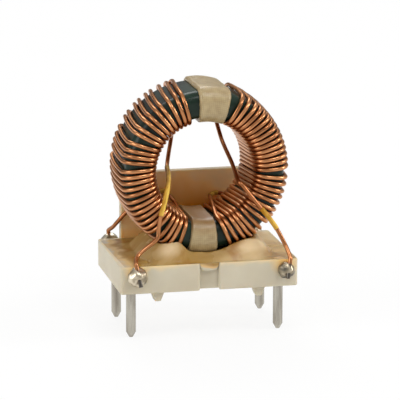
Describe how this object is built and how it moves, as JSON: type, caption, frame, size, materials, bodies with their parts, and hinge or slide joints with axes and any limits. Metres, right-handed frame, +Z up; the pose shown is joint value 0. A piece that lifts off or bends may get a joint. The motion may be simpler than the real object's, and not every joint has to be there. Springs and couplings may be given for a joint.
{
  "type": "toroidal inductor",
  "caption": "Upright ring-core inductor with separate copper windings, tape bands, a moulded pin header with a rear wall, soldered leads and poured adhesive.",
  "frame": {"origin": "centre of the four-pin pattern, on the surface of the board that the standoffs sit on", "axes": "+X along the header towards the right pins, +Y through the header towards the rear wall and along the ring's axis, +Z up"},
  "size_m": [0.0182, 0.0154, 0.0252],
  "materials": {
    "base": "satin moulded thermoset",
    "core": "glossy epoxy coating",
    "tape": "glass cloth tape",
    "wire": "enamelled copper",
    "pin": "tinned",
    "solder": "bright solder",
    "sleeve": "thin extruded sleeve",
    "adhesive": "cured epoxy"
  },
  "bodies": {
    "root": {"base": "base", "core": "core", "tape_top": "tape", "tape_bottom": "tape", "winding_left": "wire", "winding_right": "wire", "pin_front_left": "pin", "pin_front_right": "pin", "pin_back_left": "pin", "pin_back_right": "pin", "solder_front_left": "solder", "solder_front_right": "solder", "solder_back_left": "solder", "solder_back_right": "solder", "sleeve_front_left": "sleeve", "sleeve_front_right": "sleeve", "sleeve_back_left": "sleeve", "sleeve_back_right": "sleeve", "adhesive": "adhesive"}
  },
  "joints": []
}
